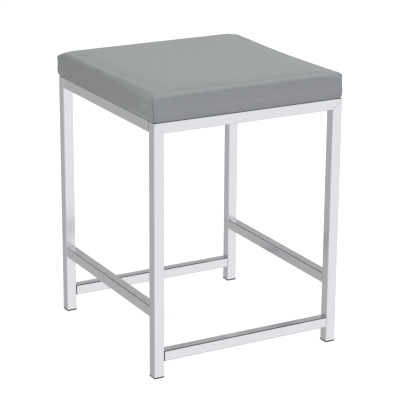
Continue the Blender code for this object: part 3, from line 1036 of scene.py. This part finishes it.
def birch_plywood():
    """Five plies, alternately long and end grain: pale and darker bands on the edge."""
    material, tree, place = start_material("birch_plywood")
    sums = sums_in(tree)
    height = node(tree, "ShaderNodeSeparateXYZ", {0: place}).outputs["Z"]
    band = sums("PINGPONG", sums("SUBTRACT", height, BOARD_LOW.z), PLY)
    ply = ranged(tree, band, 0.3 * PLY, 0.7 * PLY)
    squeeze = [1 / size for size in GRAIN_SIZE]
    stretched = node(tree, "ShaderNodeMapping", {"Vector": place, "Scale": squeeze}).outputs[0]
    grain = mottle(tree, stretched, size=1.0, detail=6.0)
    veneer = tint(tree, grain, "#c8a878", "#e3cda4")
    return end_material(material, {
        "Base Color": tint(tree, ply, veneer, "#a98457"),
        "Roughness": 0.7,
        "Normal": relief(tree, grain, strength=0.3, depth=0.2 * MM),
    })


# %% Stacks, rods and cuts
def join_rings(bm, lower, upper):
    """Faces between two rings of points, one above the other."""
    for a in range(len(lower)):
        b = (a + 1) % len(lower)
        bm.faces.new((lower[a], lower[b], upper[b], upper[a]))


def rods(piece, radius, low, high, steps):
    """A builder of four upright rods, one through the middle of that piece at each corner."""
    def build(bm):
        for corner in CORNERS:
            piece_low, piece_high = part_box(f"{piece}_{corner}")
            middle = (piece_low + piece_high) / 2
            middle.z = (low + high) / 2
            bmesh.ops.create_cone(
                bm, cap_ends=True, segments=steps, radius1=radius, radius2=radius,
                depth=high - low, matrix=Matrix.Translation(middle),
            )

    return build


def cut_with(piece, *cutters):
    """Subtract the cutters from a piece, keep the result as its mesh and drop the cutters."""
    for cutter in cutters:
        piece.modifiers.new("Cut", "BOOLEAN").object = cutter
    graph = bpy.context.evaluated_depsgraph_get()
    old = piece.data
    cut = bpy.data.meshes.new_from_object(piece.evaluated_get(graph), depsgraph=graph)
    piece.modifiers.clear()
    piece.data = cut
    bpy.data.meshes.remove(old)
    cut.name = piece.name
    for cutter in cutters:
        bpy.data.objects.remove(cutter)


# %% The board
BOARD_INSET = 1.8 * MM
BOARD_CORNER = 2.5 * MM
BOARD_ROUND = 2.2 * MM
BOARD_LIP = 0.4 * MM
ROUND_STEPS = 4
SHARP_FROM = math.radians(40)
TEE_NUT_BARREL = 8.5 * MM
TEE_NUT_FLANGE = 1.4 * MM
POCKET_CLEARANCE = 0.3 * MM
POCKET_STEPS = 32
CUT_PAST = 1 * MM


def board_levels():
    """(inset, height) of each outline of the board, from its lower face to its upper one."""
    levels = []
    for row in range(ROUND_STEPS + 1):
        angle = QUARTER * row / ROUND_STEPS
        inset = BOARD_ROUND * (1 - math.sin(angle))
        levels.append((inset, BOARD_LOW.z + BOARD_ROUND * (1 - math.cos(angle))))
    return levels + [(0.0, BOARD_HIGH.z - BOARD_LIP), (BOARD_LIP, BOARD_HIGH.z)]


def stack_outlines(bm):
    edge = [cover_points[p][:2] for p in cover_rings[EDGE_ROWS]]
    rings = []
    for inset, height in board_levels():
        plan = [outline(p, BOARD_INSET + inset, by_corner(PLAN_RADIUS, *p) + BOARD_CORNER) for p in edge]
        ring = fold_corners_under(np.array([(*p, height) for p in plan]))
        rings.append([bm.verts.new(p) for p in ring])
    bm.faces.new(list(reversed(rings[0])))
    bm.faces.new(rings[-1])
    for lower, upper in zip(rings, rings[1:]):
        join_rings(bm, lower, upper)


def make_board():
    piece = plain_piece("seat_board_plywood", stack_outlines)
    nut_low, nut_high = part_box("tee_nut_front_left")
    flange = (nut_high.x - nut_low.x) / 2 + POCKET_CLEARANCE
    barrel = TEE_NUT_BARREL / 2 + POCKET_CLEARANCE
    seat = nut_high.z - TEE_NUT_FLANGE - POCKET_CLEARANCE
    pocket = rods("tee_nut", flange, seat, BOARD_HIGH.z + CUT_PAST, POCKET_STEPS)
    bore = rods("tee_nut", barrel, BOARD_LOW.z - CUT_PAST, BOARD_HIGH.z, POCKET_STEPS)
    cut_with(piece, plain_piece("pockets", pocket), plain_piece("barrels", bore))
    dress(piece, birch_plywood())
    piece.data.set_sharp_from_angle(angle=SHARP_FROM)
    seat_piece(piece, "board_plywood", "seat_board")
    return piece


board = make_board()
print("board:", [round(x / MM, 1) for x in board.dimensions], "mm")

# %% [markdown]
# ## Foam
# Under the cover lies a block of polyurethane foam, glued to the board. Nobody sees it until
# the cover comes off, so it takes the cover's own form, drawn inwards by the thickness of
# the vinyl, and closes flat on the board.

# %% Polyurethane foam
def polyurethane_foam():
    """Open-cell foam: cream, quite matt, with pores of about a millimetre."""
    material, tree, place = start_material("polyurethane_foam")
    pores = cells(tree, place, size=1.2 * MM)
    return end_material(material, {
        "Base Color": tint(tree, pores, "#d9cfa6", "#efe6c4"),
        "Roughness": 0.95,
        "Normal": relief(tree, pores, strength=0.6, depth=0.5 * MM),
    })


# %% The foam block
FOAM_CLEARANCE = 1.6 * MM
FOAM_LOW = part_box("seat_foam")[0].z


def fill_cover(bm):
    """The cover's faces above the board, drawn inwards and closed by a flat base."""
    inner = points_of(cover.data) - outward(cover.data) * FOAM_CLEARANCE
    above = [ring for ring in cover_rings if inner[ring[0]][2] > FOAM_LOW]
    kept = set(range((CELLS + 1) ** 2)) | {p for ring in above for p in ring}
    verts = {p: bm.verts.new(inner[p]) for p in sorted(kept)}
    for face in cover_faces:
        if all(p in verts for p in face):
            bm.faces.new([verts[p] for p in face])
    last = [verts[p] for p in above[-1]]
    base = [bm.verts.new((v.co.x, v.co.y, FOAM_LOW)) for v in last]
    join_rings(bm, base, last)
    bm.faces.new(list(reversed(base)))


def make_foam():
    piece = plain_piece("seat_foam_block", fill_cover)
    dress(piece, polyurethane_foam())
    seat_piece(piece, "pad_foam", "seat_foam")
    return piece


foam = make_foam()
print("foam:", [round(x / MM) for x in foam.dimensions], "mm")

# %% [markdown]
# ## Dust cover
# A thin black non-woven cloth closes the seat from below. It is stretched from staple to
# staple and sags a little in the middle. It is a sheet, so it is a plain grid that is bent
# by a formula and given its thickness, and a hole is cut for each screw.

# %% Spunbond cloth
DOT_EDGE = (0.15, 0.35)


def spunbond_polypropylene():
    """Non-woven black cloth: matt fibres, with the bonding roll's fine grid of dots."""
    material, tree, place = start_material("spunbond_polypropylene_black")
    fibre = mottle(tree, place, size=0.8 * MM, detail=5.0, Distortion=1.5)
    dots = cells(tree, place, size=2.0 * MM, randomness=0.0)
    sums = sums_in(tree)
    nap = sums("MULTIPLY", fibre, ranged(tree, dots, *DOT_EDGE))
    return end_material(material, {
        "Base Color": tint(tree, nap, "#151516", "#333335"),
        "Roughness": 0.9,
        "Sheen Weight": 0.15,
        "Normal": relief(tree, nap, strength=0.5, depth=0.2 * MM),
    })


# %% The dust cover as a sheet
DUST_LOW, DUST_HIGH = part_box("dust_cover")
DUST_CELLS = 48
DUST_SAG = 3 * MM
DUST_RIPPLE = 0.25
DUST_RIPPLES = 5
SCREW_HOLE = 3.4 * MM
HOLE_REACH = 10 * MM
HOLE_STEPS = 24


def hang_cloth(bm):
    """A grid that sags and ripples between the staples."""
    bmesh.ops.create_grid(bm, x_segments=DUST_CELLS, y_segments=DUST_CELLS, size=1.0)
    for v in bm.verts:
        slack = ((1 - v.co.x**2) * (1 - v.co.y**2)) ** 2
        ripple = noise.noise((v.co.x * DUST_RIPPLES, v.co.y * DUST_RIPPLES, 0)) * DUST_RIPPLE
        height = DUST_HIGH.z - DUST_SAG * slack * (1 + ripple)
        v.co = (v.co.x * DUST_HIGH.x, v.co.y * DUST_HIGH.y, height)


def make_dust_cover():
    piece = plain_piece("dust_cover_cloth", hang_cloth)
    thick = piece.modifiers.new("Thickness", "SOLIDIFY")
    thick.thickness = DUST_HIGH.z - DUST_LOW.z
    thick.offset = -1
    holes = rods("washer", SCREW_HOLE, DUST_LOW.z - HOLE_REACH, DUST_LOW.z + HOLE_REACH, HOLE_STEPS)
    cut_with(piece, plain_piece("screw_holes", holes))
    dress(piece, spunbond_polypropylene())
    seat_piece(piece, "dust_cloth", "dust_cover")
    return piece


dust_cover = make_dust_cover()
print("dust cover:", [round(x / MM, 1) for x in dust_cover.dimensions], "mm")

# %% [markdown]
# ## Staples
# The dust cover is held by a row of wire staples along each side. Modelling them one by one
# would be tedious, so a tree does it: four lines lie along the cloth's edges, points are set
# on them at the staple gun's pace, and each point carries a staple that is turned a little
# at random, as it is when the gun is held by hand. A staple is wire along three sides of a
# rectangle: the fourth side is the open one, which goes into the board.

# %% A tree for staples
STAPLE_PACE = 32 * MM
STAPLE_CROWN = 10 * MM
STAPLE_LEG = 6 * MM
STAPLE_WIRE = 0.9 * MM
STAPLE_BEND = 0.8 * MM
STAPLE_TURN = math.radians(9)
STAPLE_SEED = 7
BEND_STEPS = 3
WIRE_STEPS = 8
STAPLE_SIZES = (
    "Half width", "Half depth", "Height", "Run", "Pace", "Crown", "Leg", "Wire", "Bend", "Turn",
)


def edge_lines(tree, given, sums):
    """Four lines along the sides of a rectangle, clear of its corners."""
    half_run = sums("MULTIPLY", given["Run"], 0.5)
    minus_run = sums("MULTIPLY", half_run, -1.0)
    lines = node(tree, "GeometryNodeJoinGeometry")
    for sign in (-1.0, 1.0):
        for along, across, half in (("X", "Y", "Half depth"), ("Y", "X", "Half width")):
            edge = sums("MULTIPLY", given[half], sign)
            start, end = (
                node(tree, "ShaderNodeCombineXYZ", {along: run, across: edge, "Z": given["Height"]})
                for run in (minus_run, half_run)
            )
            line = node(tree, "GeometryNodeCurvePrimitiveLine", {"Start": start, "End": end})
            tree.links.new(line.outputs[0], lines.inputs[0])
    return lines


def bent_wire(tree, given, sums):
    """One staple: wire along three sides of a rectangle, with its legs upwards."""
    path = node(
        tree, "GeometryNodeCurvePrimitiveQuadrilateral", {"Width": given["Leg"], "Height": given["Crown"]}
    )
    three_sides = node(tree, "GeometryNodeSetSplineCyclic", {"Geometry": path, "Cyclic": False})
    bent = node(
        tree, "GeometryNodeFilletCurve",
        {"Curve": three_sides, "Count": BEND_STEPS, "Radius": given["Bend"]}, mode="POLY",
    )
    section = node(
        tree, "GeometryNodeCurvePrimitiveCircle",
        {"Resolution": WIRE_STEPS, "Radius": sums("MULTIPLY", given["Wire"], 0.5)},
    )
    wire = node(
        tree, "GeometryNodeCurveToMesh",
        {"Curve": bent, "Profile Curve": section, "Fill Caps": True},
    )
    lift = node(tree, "ShaderNodeCombineXYZ", {"X": sums("MULTIPLY", given["Leg"], 0.5)})
    lifted = node(tree, "GeometryNodeTransform", {"Geometry": wire, "Translation": lift})
    return node(tree, "GeometryNodeTransform", {"Geometry": lifted, "Rotation": (0.0, -QUARTER, 0.0)})


def staple_tree():
    """Staples along the four sides of a rectangle, each turned a little at random."""
    tree, given, sums = start_tree("staples", STAPLE_SIZES, "Staples")
    places = node(
        tree, "GeometryNodeCurveToPoints",
        {"Curve": edge_lines(tree, given, sums), "Length": given["Pace"]}, mode="LENGTH",
    )
    way = node(tree, "ShaderNodeSeparateXYZ", {0: places.outputs["Tangent"]})
    minus_turn = sums("MULTIPLY", given["Turn"], -1.0)
    by_hand = node(
        tree, "FunctionNodeRandomValue",
        {2: minus_turn, 3: given["Turn"], "Seed": STAPLE_SEED}, data_type="FLOAT",
    )
    heading = sums("ADD", sums("MULTIPLY", way.outputs["X"], QUARTER), by_hand.outputs[1])
    turned = node(tree, "ShaderNodeCombineXYZ", {"Z": heading})
    driven = node(
        tree, "GeometryNodeInstanceOnPoints",
        {"Points": places, "Instance": bent_wire(tree, given, sums), "Rotation": turned},
    )
    return end_tree(tree, driven, given["Finish"])


# %% Staple the dust cover
STAPLE_INSET = 3.5 * MM


def drive_staples():
    plate_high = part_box("corner_plate_front_left")[1]
    run = 2 * min(-plate_high.x, -plate_high.y) - STAPLE_CROWN
    values = {
        "Half width": DUST_HIGH.x - STAPLE_INSET,
        "Half depth": DUST_HIGH.y - STAPLE_INSET,
        "Height": DUST_LOW.z - STAPLE_WIRE / 2,
        "Run": run,
        "Pace": STAPLE_PACE,
        "Crown": STAPLE_CROWN,
        "Leg": STAPLE_LEG,
        "Wire": STAPLE_WIRE,
        "Bend": STAPLE_BEND,
        "Turn": STAPLE_TURN,
        "Finish": zinc,
    }
    piece = grown("dust_cover_staples", staple_tree(), values)
    seat_piece(piece, "fastener_zinc")
    return piece


staples = drive_staples()
print("staples:", [round(x / MM, 1) for x in staples.dimensions], "mm over all")
